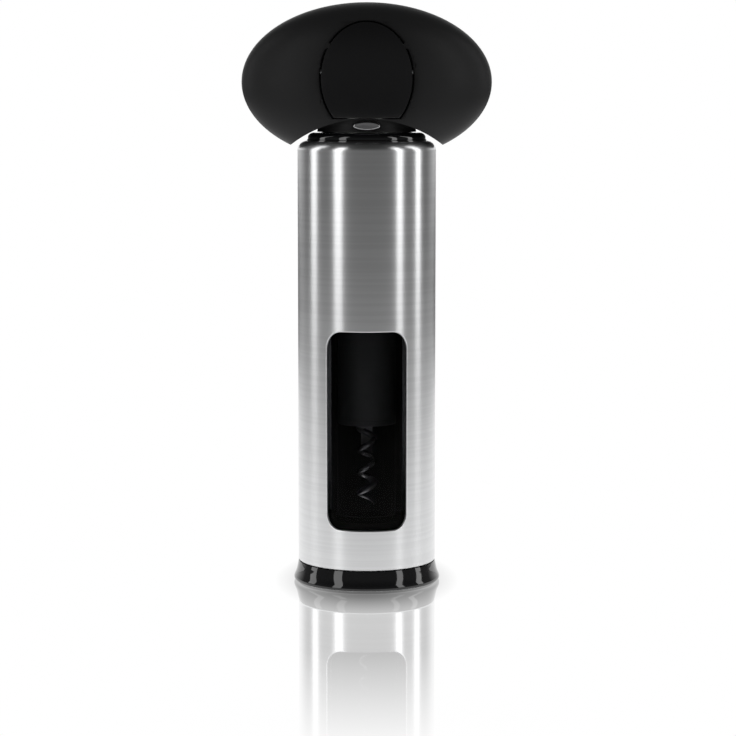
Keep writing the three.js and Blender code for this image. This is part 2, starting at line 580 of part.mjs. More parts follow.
put('top_cap', topCap(), GLOSS_BLACK);
put('handle_front_shell', handleFrontShell(), SOFT_BLACK);
put('handle_rear_shell', handleRearShell(), SOFT_BLACK);
put('handle_screw_left', handleScrew(-BOSS.x), SCREW_STEEL);
put('handle_screw_right', handleScrew(BOSS.x), SCREW_STEEL);
put('rocker_pad', rockerPad(), GLOSS_BLACK);
put('rocker_pin', rockerPin(), SCREW_STEEL);
put('switch_board', switchBoard(), BOARD_GREEN);
put('switch_up', switchBody(1), INNER_BLACK);
put('switch_down', switchBody(-1), INNER_BLACK);
put('plunger_up', plunger(1), RUBBER);
put('plunger_down', plunger(-1), RUBBER);
put('indicator_bezel', indicatorBezel(), CHROME);

export default group;
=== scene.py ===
# %% [markdown]
# # Electric wine opener
# An upright cordless corkscrew: a brushed steel barrel with a smoked window, a flared gloss base, a black
# collar, and a wide winged handle with an oval rocker pad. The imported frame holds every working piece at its
# real size. This lesson replaces the pieces that show with finer ones, gives every piece a finish, and
# lights the opener as on a white studio table.

import bpy
import json
import math
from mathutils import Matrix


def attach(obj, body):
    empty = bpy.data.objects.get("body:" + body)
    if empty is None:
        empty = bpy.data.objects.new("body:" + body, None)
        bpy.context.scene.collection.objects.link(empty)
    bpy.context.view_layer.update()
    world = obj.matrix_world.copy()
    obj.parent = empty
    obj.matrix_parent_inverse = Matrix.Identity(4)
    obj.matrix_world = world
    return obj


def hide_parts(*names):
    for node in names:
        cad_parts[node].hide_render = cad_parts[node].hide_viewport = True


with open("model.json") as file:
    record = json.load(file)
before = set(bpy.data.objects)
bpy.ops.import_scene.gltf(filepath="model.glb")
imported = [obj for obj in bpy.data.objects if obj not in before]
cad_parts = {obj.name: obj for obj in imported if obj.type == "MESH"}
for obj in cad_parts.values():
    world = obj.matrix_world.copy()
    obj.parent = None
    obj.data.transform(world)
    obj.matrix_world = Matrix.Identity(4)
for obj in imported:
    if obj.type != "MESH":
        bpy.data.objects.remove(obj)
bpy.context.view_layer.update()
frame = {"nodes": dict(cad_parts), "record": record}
NODES = frame["nodes"]
MM = 0.001

# %% [markdown]
# Lengths below are in millimetres, as on a drawing, and are turned into metres where the mesh is made.
# The barrel, window and handle sizes are those of the working pieces, so the fine pieces sit on the same
# lines.

# %% Sizes of the opener
BARREL_R = 27.0
WINDOW_HALF, WINDOW_Z, WINDOW_CORNER = 15.4, (24.1, 101.2), 6.3
LENS_R = (24.9, 26.0)
LENS_MARGIN = 1.4
JACK_Z, JACK_HOLE = 125.0, 4.2
HANDLE_A, HANDLE_C, HANDLE_Z, HANDLE_DEPTH = 48.72, 30.73, 196.5, 21.0
HANDLE_TAPER, TAPER_REACH, HANDLE_WALL = 0.3, 48.75, 2.2
NOTCH_Z, NOTCH_R = 134.9, 47.6
PAD_A, PAD_C, PAD_Z, PAD_CUT, PAD_PROUD, PAD_GAP = 17.4, 21.4, 197.85, 182.9, 2.2, 0.45
OVAL_A, OVAL_C, OVAL_Z = 5.2, 1.65, 179.8
WORM_COIL, WORM_WIRE, WORM_PITCH, WORM_TIP = 2.75, 1.35, 8.7, 30.0

# %% [markdown]
# A few helpers keep each piece short. Every one of them starts from a primitive and works in edit mode, and
# a modifier is applied as soon as it has done its work, so what is left is a plain mesh at the origin.

# %% Bench helpers
def fresh():
    """Leaves edit mode and deselects everything."""
    if bpy.context.object and bpy.context.object.mode != "OBJECT":
        bpy.ops.object.mode_set(mode="OBJECT")
    for obj in list(bpy.context.selected_objects):
        obj.select_set(False)


def hold(obj):
    """Makes obj the only selected and the active object."""
    fresh()
    obj.select_set(True)
    bpy.context.view_layer.objects.active = obj
    return obj


def settle(obj):
    """Moves turn, size and place into the mesh, so that the object sits at the origin."""
    hold(obj)
    bpy.ops.object.transform_apply(location=True, rotation=True, scale=True)
    return obj


def in_edit(obj, step, *args, **words):
    """Runs one edit-mode operator on the whole mesh."""
    hold(obj)
    bpy.ops.object.mode_set(mode="EDIT")
    bpy.ops.mesh.select_all(action="SELECT")
    step(*args, **words)
    bpy.ops.object.mode_set(mode="OBJECT")
    return obj


def close_up(obj, gap=0.00001):
    """Merges doubled vertices and turns the faces outwards."""
    in_edit(obj, bpy.ops.mesh.remove_doubles, threshold=gap)
    return in_edit(obj, bpy.ops.mesh.normals_make_consistent, inside=False)


def smooth(obj, degrees=35):
    hold(obj)
    bpy.ops.object.shade_smooth_by_angle(angle=math.radians(degrees))
    return obj


def even_shade(obj):
    """Lets broad faces rule the shading, so that small chamfers do not bend it across a long wall."""
    mod = obj.modifiers.new("even", "WEIGHTED_NORMAL")
    mod.weight = 100
    mod.keep_sharp = True
    hold(obj)
    bpy.ops.object.modifier_apply(modifier=mod.name)
    return obj


def soften(obj, width, segments=2, degrees=40, edge_coat=-1):
    """Rounds the sharp edges by width mm. edge_coat picks the finish of the new faces."""
    mod = obj.modifiers.new("soften", "BEVEL")
    mod.width = width * MM
    mod.segments = segments
    mod.limit_method = "ANGLE"
    mod.angle_limit = math.radians(degrees)
    mod.miter_outer = "MITER_ARC"
    mod.material = edge_coat
    hold(obj)
    bpy.ops.object.modifier_apply(modifier=mod.name)
    return obj


def carve(obj, tool, how="DIFFERENCE", keep=False):
    """Cuts, joins or crosses obj with tool, and puts the tool away."""
    mod = obj.modifiers.new("carve", "BOOLEAN")
    mod.operation = how
    mod.object = tool
    mod.solver = "EXACT"
    hold(obj)
    bpy.ops.object.modifier_apply(modifier=mod.name)
    if not keep:
        bpy.data.objects.remove(tool)
    return obj


def turned(name, corners, steps=128):
    """A ring turned on the lathe from a closed list of (radius, height) corners in mm."""
    fresh()
    bpy.ops.mesh.primitive_circle_add(vertices=len(corners), radius=MM, fill_type="NOTHING")
    obj = bpy.context.object
    obj.name = name
    for vertex, (r, z) in zip(obj.data.vertices, corners):
        vertex.co = (r * MM, 0, z * MM)
    in_edit(obj, bpy.ops.mesh.spin, steps=steps, angle=math.tau, center=(0, 0, 0), axis=(0, 0, 1))
    return close_up(obj)


def rod_y(name, r, y0, y1, x, z, sides=96):
    """A round bar lying along Y."""
    fresh()
    bpy.ops.mesh.primitive_cylinder_add(
        vertices=sides, radius=r * MM, depth=(y1 - y0) * MM,
        location=(x * MM, (y0 + y1) / 2 * MM, z * MM), rotation=(math.pi / 2, 0, 0))
    bpy.context.object.name = name
    return settle(bpy.context.object)


def slab(name, x0, x1, y0, y1, z0, z1):
    """A block between the given faces."""
    fresh()
    bpy.ops.mesh.primitive_cube_add(
        size=MM, location=((x0 + x1) / 2 * MM, (y0 + y1) / 2 * MM, (z0 + z1) / 2 * MM),
        scale=(x1 - x0, y1 - y0, z1 - z0))
    bpy.context.object.name = name
    return settle(bpy.context.object)


def place(obj, body, slot, node, *coats):
    """Puts a finished piece on its body in place of the plain one, with its finishes in order."""
    obj.data.materials.clear()
    for coat in coats:
        obj.data.materials.append(coat)
    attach(obj, body)
    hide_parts(node)
    print(obj.name, "faces", len(obj.data.polygons), "size mm", [round(d * 1000, 1) for d in obj.dimensions])


# %% [markdown]
# ## Finishes
# Four surface effects turn up on more than one material, so each is a node group with named inputs: fine
# streaks left by brushing or turning, the pebbled skin of moulded plastic, soft smudges that change the
# shine, and worn edges. Groups give out masks and heights only. The shader itself stays in each material.

# %% Shared surface effects
def new_group(name, inputs, outputs):
    group = bpy.data.node_groups.new(name, "ShaderNodeTree")
    for label, kind, value in inputs:
        socket = group.interface.new_socket(label, in_out="INPUT", socket_type=kind)
        socket.default_value = value
    for label, kind in outputs:
        group.interface.new_socket(label, in_out="OUTPUT", socket_type=kind)
    return group, group.nodes.new("NodeGroupInput"), group.nodes.new("NodeGroupOutput")


def noise_in(tree, scale, detail, roughness=0.55):
    node = tree.nodes.new("ShaderNodeTexNoise")
    node.inputs["Scale"].default_value = scale
    node.inputs["Detail"].default_value = detail
    node.inputs["Roughness"].default_value = roughness
    return node


def ramp_in(tree, low, high):
    node = tree.nodes.new("ShaderNodeMapRange")
    node.inputs["From Min"].default_value = low
    node.inputs["From Max"].default_value = high
    node.interpolation_type = "SMOOTHSTEP"
    return node


def make_streaks():
    """Brushed or turned lines: noise squeezed along one axis by the Stretch vector."""
    group, start, end = new_group(
        "turned_streaks",
        [("Stretch", "NodeSocketVector", (60, 60, 3000))],
        [("Height", "NodeSocketFloat"), ("Mask", "NodeSocketFloat")])
    place_at = group.nodes.new("ShaderNodeTexCoord")
    scale = group.nodes.new("ShaderNodeVectorMath")
    scale.operation = "MULTIPLY"
    fine, broad = noise_in(group, 1, 3), noise_in(group, 0.12, 2)
    ramp = ramp_in(group, 0.4, 0.6)
    link = group.links.new
    link(place_at.outputs["Object"], scale.inputs[0])
    link(start.outputs["Stretch"], scale.inputs[1])
    for node in (fine, broad):
        link(scale.outputs[0], node.inputs["Vector"])
    link(fine.outputs["Fac"], end.inputs["Height"])
    link(broad.outputs["Fac"], ramp.inputs["Value"])
    link(ramp.outputs["Result"], end.inputs["Mask"])
    return group


def make_pebble_skin():
    """The fine pebbled skin that a textured mould leaves on plastic and rubber."""
    group, start, end = new_group(
        "moulded_skin", [("Scale", "NodeSocketFloat", 2500)],
        [("Height", "NodeSocketFloat"), ("Mask", "NodeSocketFloat")])
    place_at = group.nodes.new("ShaderNodeTexCoord")
    noise = noise_in(group, 2500, 2)
    cells = group.nodes.new("ShaderNodeTexVoronoi")
    mix = group.nodes.new("ShaderNodeMath")
    mix.operation = "MULTIPLY"
    link = group.links.new
    for node in (noise, cells):
        link(place_at.outputs["Object"], node.inputs["Vector"])
        link(start.outputs["Scale"], node.inputs["Scale"])
    link(noise.outputs["Fac"], mix.inputs[0])
    link(cells.outputs["Distance"], mix.inputs[1])
    link(mix.outputs[0], end.inputs["Height"])
    link(noise.outputs["Fac"], end.inputs["Mask"])
    return group


def make_smudges():
    """Broad patches left by hands and cloths, between a low and a high value."""
    group, start, end = new_group(
        "hand_smudges",
        [("Scale", "NodeSocketFloat", 30), ("Low", "NodeSocketFloat", 0.3), ("High", "NodeSocketFloat", 0.4)],
        [("Value", "NodeSocketFloat")])
    place_at = group.nodes.new("ShaderNodeTexCoord")
    noise = noise_in(group, 30, 4)
    ramp = ramp_in(group, 0.35, 0.65)
    link = group.links.new
    link(place_at.outputs["Object"], noise.inputs["Vector"])
    link(start.outputs["Scale"], noise.inputs["Scale"])
    link(noise.outputs["Fac"], ramp.inputs["Value"])
    link(start.outputs["Low"], ramp.inputs["To Min"])
    link(start.outputs["High"], ramp.inputs["To Max"])
    link(ramp.outputs["Result"], end.inputs["Value"])
    return group


def make_worn_edges():
    """A mask that is bright on outer edges, broken up by noise."""
    group, start, end = new_group(
        "worn_edges", [("Scale", "NodeSocketFloat", 400)], [("Mask", "NodeSocketFloat")])
    geometry = group.nodes.new("ShaderNodeNewGeometry")
    place_at = group.nodes.new("ShaderNodeTexCoord")
    edge, noise, mix = ramp_in(group, 0.52, 0.6), noise_in(group, 400, 3), group.nodes.new("ShaderNodeMath")
    mix.operation = "MULTIPLY"
    link = group.links.new
    link(geometry.outputs["Pointiness"], edge.inputs["Value"])
    link(place_at.outputs["Object"], noise.inputs["Vector"])
    link(start.outputs["Scale"], noise.inputs["Scale"])
    link(edge.outputs["Result"], mix.inputs[0])
    link(noise.outputs["Fac"], mix.inputs[1])
    link(mix.outputs[0], end.inputs["Mask"])
    return group


STREAKS, SKIN, SMUDGES, WORN = make_streaks(), make_pebble_skin(), make_smudges(), make_worn_edges()
print("effects", [g.name for g in (STREAKS, SKIN, SMUDGES, WORN)])

# %% [markdown]
# A finish is a Principled shader with its flat values typed in, plus whichever effects the real surface
# shows. Metals get streaks, plastics and rubbers get the moulded skin. Smudges change the shine of all but
# the brushed sleeve, where streaks do it, and edges wear brighter where a finish names a worn colour.
# Colours are given as linear light values, so 0.01 is nearly black.

# %% Finish builder
def use(tree, group, **values):
    node = tree.nodes.new("ShaderNodeGroup")
    node.node_tree = group
    for label, value in values.items():
        node.inputs[label].default_value = value
    return node


def coat(name, color, rough, metallic=0.0, streaks=None, skin=None, bump=0.1, depth=0.00002, worn=None,
         tint=0.15, smudge_scale=30.0, **sockets):
    """One finish: color is linear RGB, rough is (shiny, dull), worn is the colour that shows on edges.

    With smudge_scale 0 the surface is clean, and its shine changes only from streak to streak.
    """
    mat = bpy.data.materials.new(name)
    mat.use_nodes = True
    tree = mat.node_tree
    shader = tree.nodes["Principled BSDF"]
    shader.inputs["Metallic"].default_value = metallic
    for label, value in sockets.items():
        shader.inputs[label.replace("_", " ")].default_value = value
    link = tree.links.new
    texture = use(tree, STREAKS, Stretch=streaks) if streaks else use(tree, SKIN, Scale=skin or 2500)
    if smudge_scale:
        shine = use(tree, SMUDGES, Scale=smudge_scale, Low=rough[0], High=rough[1]).outputs["Value"]
    else:
        spread = ramp_in(tree, 0, 1)
        spread.inputs["To Min"].default_value, spread.inputs["To Max"].default_value = rough
        link(texture.outputs["Mask"], spread.inputs["Value"])
        shine = spread.outputs["Result"]
    link(shine, shader.inputs["Roughness"])
    shade = tree.nodes.new("ShaderNodeMix")
    shade.data_type = "RGBA"
    shade.inputs[6].default_value = (*[c * (1 - tint) for c in color], 1)
    shade.inputs[7].default_value = (*[min(1, c * (1 + tint)) for c in color], 1)
    link(texture.outputs["Mask"], shade.inputs[0])
    top = shade
    if worn:
        top = tree.nodes.new("ShaderNodeMix")
        top.data_type = "RGBA"
        top.inputs[7].default_value = (*worn, 1)
        link(use(tree, WORN, Scale=400.0).outputs["Mask"], top.inputs[0])
        link(shade.outputs[2], top.inputs[6])
    link(top.outputs[2], shader.inputs["Base Color"])
    height = tree.nodes.new("ShaderNodeBump")
    height.inputs["Strength"].default_value = bump
    height.inputs["Distance"].default_value = depth
    link(texture.outputs["Height"], height.inputs["Height"])
    link(height.outputs["Normal"], shader.inputs["Normal"])
    return mat


# %% Finishes of the opener
AROUND = (60.0, 60.0, 5200.0)  # streaks that run round an upright barrel
brushed_steel = coat("brushed_steel", (0.74, 0.745, 0.75), (0.276, 0.286), 1.0, streaks=AROUND, bump=0.06,
                     depth=0.00002, tint=0.025, smudge_scale=0, Anisotropic=0.75, Anisotropic_Rotation=0.25)
round_tangent = brushed_steel.node_tree.nodes.new("ShaderNodeTangent")
round_tangent.direction_type = "RADIAL"
round_tangent.axis = "Z"
brushed_steel.node_tree.links.new(
    round_tangent.outputs[0], brushed_steel.node_tree.nodes["Principled BSDF"].inputs["Tangent"])
polished_edge = coat("polished_edge", (0.72, 0.725, 0.73), (0.08, 0.14), 1.0, streaks=AROUND, bump=0.02,
                     tint=0.03)
polished_steel = coat("polished_steel", (0.6, 0.605, 0.61), (0.05, 0.09), 1.0, streaks=AROUND, bump=0.02,
                      tint=0.03)
chrome = coat("polished_chrome", (0.6, 0.6, 0.61), (0.14, 0.22), 1.0, streaks=(300, 300, 300), bump=0.02,
              tint=0.04)
screw_steel = coat("turned_screw_steel", (0.38, 0.39, 0.4), (0.25, 0.4), 1.0, streaks=(900, 900, 4000),
                   worn=(0.7, 0.7, 0.7))
worm_steel = coat("worm_steel", (0.62, 0.62, 0.63), (0.25, 0.35), 1.0, streaks=(700, 700, 1800), bump=0.08)
motor_steel = coat("plated_motor_steel", (0.45, 0.46, 0.44), (0.3, 0.45), 1.0, streaks=(200, 200, 2500),
                   worn=(0.6, 0.6, 0.58))
brass = coat("turned_brass", (0.55, 0.36, 0.1), (0.2, 0.35), 1.0, streaks=(900, 900, 5000),
             worn=(0.75, 0.55, 0.25))
gloss_black = coat("gloss_black", (0.0035, 0.0035, 0.004), (0.035, 0.07), skin=1200.0, bump=0.01,
                   smudge_scale=50.0, worn=(0.01, 0.01, 0.01), Specular_IOR_Level=0.5, Coat_Weight=0.25,
                   Coat_Roughness=0.03)
pad_gloss = coat("pad_gloss", (0.012, 0.012, 0.0125), (0.2, 0.27), skin=1600.0, bump=0.02, smudge_scale=60.0,
                 worn=(0.015, 0.015, 0.015), Specular_IOR_Level=0.3)
rim_gloss = coat("polished_rim", (0.01, 0.01, 0.01), (0.12, 0.18), skin=1200.0, bump=0.01, IOR=2.0,
                 Specular_IOR_Level=1.0)
soft_black = coat("soft_touch_black", (0.024, 0.024, 0.0245), (0.4, 0.48), skin=3600.0, bump=0.12,
                  depth=0.00003, smudge_scale=40.0, worn=(0.028, 0.028, 0.028), Specular_IOR_Level=0.14)
inner_black = coat("inner_black", (0.005, 0.005, 0.0055), (0.5, 0.62), skin=2500.0, bump=0.1,
                   worn=(0.02, 0.02, 0.02), Specular_IOR_Level=0.12)
cage_grey = coat("cage_grey", (0.16, 0.16, 0.16), (0.4, 0.5), skin=2200.0, bump=0.08, worn=(0.2, 0.2, 0.2))
rubber = coat("soft_rubber", (0.012, 0.012, 0.012), (0.7, 0.85), skin=1800.0, bump=0.2, depth=0.00004)
acetal = coat("white_acetal", (0.75, 0.73, 0.66), (0.35, 0.45), skin=2600.0, bump=0.05)
gear_nylon = coat("gear_nylon", (0.55, 0.52, 0.42), (0.4, 0.52), skin=2600.0, bump=0.08,
                  worn=(0.75, 0.73, 0.65))
magnet = coat("pressed_magnet", (0.05, 0.05, 0.055), (0.5, 0.7), 0.3, skin=1600.0, bump=0.25,
              worn=(0.1, 0.1, 0.1))
board_green = coat("circuit_board", (0.012, 0.1, 0.045), (0.3, 0.42), skin=900.0, bump=0.05)
cell_wrap = coat("cell_wrap", (0.03, 0.16, 0.32), (0.25, 0.35), skin=700.0, bump=0.03, worn=(0.3, 0.4, 0.5))
smoked = coat("smoked_window", (0.32, 0.32, 0.33), (0.015, 0.03), skin=500.0, bump=0.004, tint=0.04,
              Transmission_Weight=1.0, IOR=1.1)
COATS = {
    "brushed_steel": brushed_steel, "polished_chrome": chrome, "screw_steel": screw_steel,
    "worm_steel": worm_steel, "motor_steel": motor_steel, "brass": brass, "gloss_black": gloss_black,
    "soft_black": soft_black, "inner_black": inner_black, "cage_grey": cage_grey, "smoked_window": smoked,
    "rubber": rubber, "acetal": acetal, "gear_nylon": gear_nylon, "magnet": magnet,
    "board_green": board_green, "cell_wrap": cell_wrap,
}
print("finishes", len(COATS))

# %% [markdown]
# ## Carried-over working pieces
# Gears, motor, cells, screws and the other working pieces keep their exact solids. Each takes the finish of
# its slot in the record.

# %% Finish the working pieces
for entry in frame["record"]["subparts"]:
    data = NODES[entry["node"]].data
    data.materials.clear()
    data.materials.append(COATS[entry["material_slot"]])

# %% [markdown]
# ## Steel sleeve
# The real sleeve is rolled tube with a window punched through it. It is modelled the way sheet metal is
# drawn: laid flat, cut while flat, so that the edge round the window takes a clean chamfer, then divided into
# narrow strips and rolled up. The strips keep the cylinder true and the brushed reflection straight.

# %% Rolling helpers
def rounded_plate(name, half, z0, z1, corner, y0, y1, x=0.0):
    """A plate with round corners, standing in X and Z, y0 to y1 thick."""
    fresh()
    bpy.ops.mesh.primitive_plane_add(size=MM, location=(0, 0, 0))
    obj = bpy.context.object
    obj.name = name
    obj.scale = (2 * half, z1 - z0, 1)
    settle(obj)
    in_edit(obj, bpy.ops.mesh.bevel, offset=corner * MM, segments=14, affect="VERTICES")
    obj.rotation_euler = (math.pi / 2, 0, 0)
    obj.location = (x * MM, y1 * MM, (z0 + z1) / 2 * MM)
    settle(obj)
    in_edit(obj, bpy.ops.mesh.extrude_region_move, TRANSFORM_OT_translate={"value": (0, (y0 - y1) * MM, 0)})
    return close_up(obj)


def into_strips(obj, width, x0, x1):
    """Divides a flat piece into upright strips, each about width mm."""
    hold(obj)
    bpy.ops.object.mode_set(mode="EDIT")
    count = round((x1 - x0) / width)
    for i in range(1, count):
        bpy.ops.mesh.select_all(action="SELECT")
        x = (x0 + (x1 - x0) * i / count) * MM
        bpy.ops.mesh.bisect(plane_co=(x, 0, 0), plane_no=(1, 0, 0))
    bpy.ops.object.mode_set(mode="OBJECT")
    return count


def roll_up(obj, radius):
    """Rolls a flat piece round Z: X becomes the way round, and Y, outwards negative, the radius."""
    for vertex in obj.data.vertices:
        x, y, z = vertex.co
        r, turn = radius * MM - y, x / (radius * MM)
        vertex.co = (r * math.sin(turn), -r * math.cos(turn), z)
    return obj


# %% Roll the sleeve
SHEET_CHAMFER, STRIP, SHOULDER_Z = 0.42, 0.85, 170.5
HOLES_BETWEEN = (15, 140)  # the window and the charging inlet both lie between these heights
AROUND_LENGTH = math.tau * BARREL_R
SEAM = -AROUND_LENGTH / 4
SLEEVE_PROFILE = [  # (depth in from the face, height): wall, rolled shoulder, then back down the inside
    (0.0, 8.6), (0.0, 170.3), (0.15, 171.2), (0.6, 172.1), (1.25, 172.85), (2.1, 173.4), (3.0, 173.68),
    (3.0, 173.0), (2.1, 172.7), (1.45, 172.1), (0.95, 171.2), (0.8, 170.2), (0.8, 8.3), (0.25, 8.3)]


def sleeve_blank():
    """The wall's section, drawn at the seam and pulled out to the length of one turn."""
    fresh()
    bpy.ops.mesh.primitive_circle_add(vertices=len(SLEEVE_PROFILE), radius=MM, fill_type="NOTHING")
    obj = bpy.context.object
    obj.name = "brushed_sleeve"
    for vertex, (inward, z) in zip(obj.data.vertices, SLEEVE_PROFILE):
        vertex.co = (SEAM * MM, inward * MM, z * MM)
    hold(obj)
    bpy.ops.object.mode_set(mode="EDIT")
    bpy.ops.mesh.select_all(action="SELECT")
    bpy.ops.mesh.edge_face_add()
    bpy.ops.mesh.extrude_region_move(TRANSFORM_OT_translate={"value": (AROUND_LENGTH * MM, 0, 0)})
    bpy.ops.object.mode_set(mode="OBJECT")
    return close_up(obj)


def flat_half(chord, radius):
    """Half the way round, in mm, of a chord's half width on that radius."""
    return radius * math.asin(chord / radius)


sleeve = sleeve_blank()
window_half = flat_half(WINDOW_HALF, BARREL_R)
carve(sleeve, rounded_plate("window_punch", window_half, *WINDOW_Z, WINDOW_CORNER, -5, 5))
carve(sleeve, rod_y("jack_punch", JACK_HOLE, -5, 5, AROUND_LENGTH / 2, JACK_Z, 48))
print("punched sheet faces", len(sleeve.data.polygons))

# %% Chamfer the window and roll
sleeve.data.materials.append(brushed_steel)
sleeve.data.materials.append(polished_edge)
hold(sleeve)
bpy.ops.object.mode_set(mode="EDIT")
bpy.ops.mesh.select_mode(type="EDGE")
bpy.ops.mesh.select_all(action="DESELECT")
bpy.ops.object.mode_set(mode="OBJECT")
for edge in sleeve.data.edges:
    ends = [sleeve.data.vertices[i].co for i in edge.vertices]
    on_face = all(abs(v.y) < 1e-6 and HOLES_BETWEEN[0] * MM < v.z < HOLES_BETWEEN[1] * MM for v in ends)
    off_seam = all(v.x > (SEAM + 1) * MM and v.x < (SEAM + AROUND_LENGTH - 1) * MM for v in ends)
    edge.select = on_face and off_seam
rim_edges = sum(e.select for e in sleeve.data.edges)
bpy.ops.object.mode_set(mode="EDIT")
bpy.ops.mesh.bevel(offset=SHEET_CHAMFER * MM, segments=3, affect="EDGES", clamp_overlap=False, material=1)
bpy.ops.object.mode_set(mode="OBJECT")
strips = into_strips(sleeve, STRIP, SEAM, SEAM + AROUND_LENGTH)
roll_up(sleeve, BARREL_R)
close_up(sleeve)
even_shade(smooth(sleeve, 30))
for face in sleeve.data.polygons:
    if face.center.z > SHOULDER_Z * MM:
        face.material_index = 2
place(sleeve, "housing", "brushed_steel", "steel_sleeve", brushed_steel, polished_edge, polished_steel)
print("chamfered edges", rim_edges, "strips", strips)

# %% [markdown]
# ## Smoked window
# The window is a curved plate of smoked clear plastic held behind the steel. It is cut flat with round
# corners, given a small rounded edge, and rolled like the sleeve so that both curves match.

# %% Roll the window
lens_half = flat_half(WINDOW_HALF + LENS_MARGIN, LENS_R[1])
lens = rounded_plate("curved_window", lens_half, WINDOW_Z[0] - LENS_MARGIN, WINDOW_Z[1] + LENS_MARGIN,
                     WINDOW_CORNER + LENS_MARGIN, 0, LENS_R[1] - LENS_R[0])
soften(lens, 0.15)
into_strips(lens, 0.8, -lens_half, lens_half)
roll_up(lens, LENS_R[1])
even_shade(smooth(close_up(lens), 30))
place(lens, "housing", "smoked_window", "window_lens", smoked)

# %% [markdown]
# ## Base, foot and bottle guide
# These are round parts, so each is turned from its section. The base flares out to a rounded toe and takes a
# high gloss. The guide's upper face is the pale-edged ring that shows at the foot of the window.

# %% Turn the base parts
TOE_TOP = 4.0  # below this the rounded toe is polished
SCREW_WELLS, WELL_CIRCLE = 3, 21.05
base = turned("flared_base", [
    (18.8, 0.5), (23.3, 0.5), (23.3, 1.5), (27.25, 1.5), (27.25, 0.5), (28.3, 0.5), (28.7, 0.65), (28.88, 1.0),
    (28.9, 1.5), (28.8, 2.0), (28.5, 2.7), (28.15, 3.5), (27.85, 4.4), (27.6, 5.4), (27.4, 6.4), (27.2, 7.3),
    (27.0, 8.0), (25.8, 8.05), (25.8, 12), (24.2, 12), (24.2, 5), (18.8, 5)], 160)
smooth(base, 38)
for spot in range(SCREW_WELLS):
    turn = math.pi / 2 + spot * math.tau / SCREW_WELLS
    fresh()
    bpy.ops.mesh.primitive_cylinder_add(vertices=32, radius=2 * MM, depth=4.6 * MM, location=(
        WELL_CIRCLE * MM * math.cos(turn), WELL_CIRCLE * MM * math.sin(turn), 0.1 * MM))
    carve(base, settle(bpy.context.object))
for face in base.data.polygons:
    if face.center.z < TOE_TOP * MM and math.hypot(face.center.x, face.center.y) > BARREL_R * MM:
        face.material_index = 1
place(base, "housing", "gloss_black", "base_ring", gloss_black, rim_gloss)
foot = turned("soft_foot", [(23.6, 0.25), (23.85, 0), (26.75, 0), (27.0, 0.25), (27.0, 1.2), (23.6, 1.2)], 128)
smooth(foot, 30)
place(foot, "housing", "rubber", "foot_ring", rubber)
guide = turned("neck_guide", [
    (17.7, 0.5), (18.5, 0.5), (18.5, 5.3), (23.8, 5.3), (23.8, 8), (18.5, 8), (18.5, 20.8), (24.2, 20.8),
    (24.2, 24), (23.8, 24.4), (12.9, 24.4), (12.3, 24.1), (12.2, 23.6), (12.2, 20.8), (16.5, 20.8),
    (16.5, 3)], 128)
smooth(guide, 30)
place(guide, "housing", "inner_black", "bottle_guide", inner_black)

# %% [markdown]
# ## Cork cage and worm
# The cage is the grey block behind the window: a turned cup with a rounded lip, a groove for its drag ring and
# a rib that slides in the chassis slot. The worm is wire wound to an open helix and ground to a point.

# %% Turn the cage
cage = turned("grey_cork_cage", [
    (10.2, 63.3), (10.45, 62.9), (10.8, 62.6), (11.2, 62.6), (11.42, 62.75), (11.5, 63.1), (11.5, 64.6),
    (11.36, 64.75), (11.36, 65.0), (11.5, 65.15), (11.5, 100.1), (10.6, 100.1), (10.6, 102.2), (11.5, 102.2),
    (11.5, 103), (4.4, 103), (4.4, 99.4), (10.2, 99.4)], 128)
carve(cage, slab("rib", -2, 2, 10.9, 13.4, 92, 98.6), "UNION")
smooth(cage, 30)
place(cage, "cage", "cage_grey", "cork_cage", cage_grey)


# %% Wind the worm
def wound_wire():
    """A ring of wire swept round and up, one turn for each pitch, by the Screw modifier."""
    fresh()
    bpy.ops.mesh.primitive_circle_add(vertices=20, radius=WORM_WIRE * MM, fill_type="NOTHING",
                                      rotation=(math.pi / 2, 0, 0), location=(WORM_COIL * MM, 0, WORM_TIP * MM))
    obj = settle(bpy.context.object)
    obj.name = "wound_worm"
    mod = obj.modifiers.new("wind", "SCREW")
    mod.angle = math.tau
    mod.screw_offset = WORM_PITCH * MM
    mod.iterations = 8
    mod.steps = mod.render_steps = 48
    hold(obj)
    bpy.ops.object.modifier_apply(modifier=mod.name)
    return obj


worm = wound_wire()
grind = 0.75 * WORM_PITCH
for vertex in worm.data.vertices:
    turn = math.atan2(vertex.co.y, vertex.co.x) % math.tau
    rise = vertex.co.z / MM - WORM_TIP
    lap = round((rise - turn / math.tau * WORM_PITCH) / WORM_PITCH)
    along = (lap + turn / math.tau) * WORM_PITCH
    if along < grind:
        keep = 0.06 + 0.94 * (max(along, 0) / grind) ** 0.7
        heart = (WORM_COIL * MM * math.cos(turn), WORM_COIL * MM * math.sin(turn), (WORM_TIP + along) * MM)
        vertex.co = [h + (c - h) * keep for c, h in zip(vertex.co, heart)]
hold(worm)
bpy.ops.object.mode_set(mode="EDIT")
bpy.ops.mesh.select_all(action="DESELECT")
bpy.ops.mesh.select_non_manifold()
bpy.ops.mesh.edge_face_add()
bpy.ops.object.mode_set(mode="OBJECT")
close_up(worm)
smooth(worm, 50)
place(worm, "worm_unit", "worm_steel", "worm", worm_steel)

# %% [markdown]
# ## Collar
# A gloss black collar closes the top of the barrel. Its upper tier stands inside the rolled steel shoulder,
# with a rounded edge that catches a thin line of light.

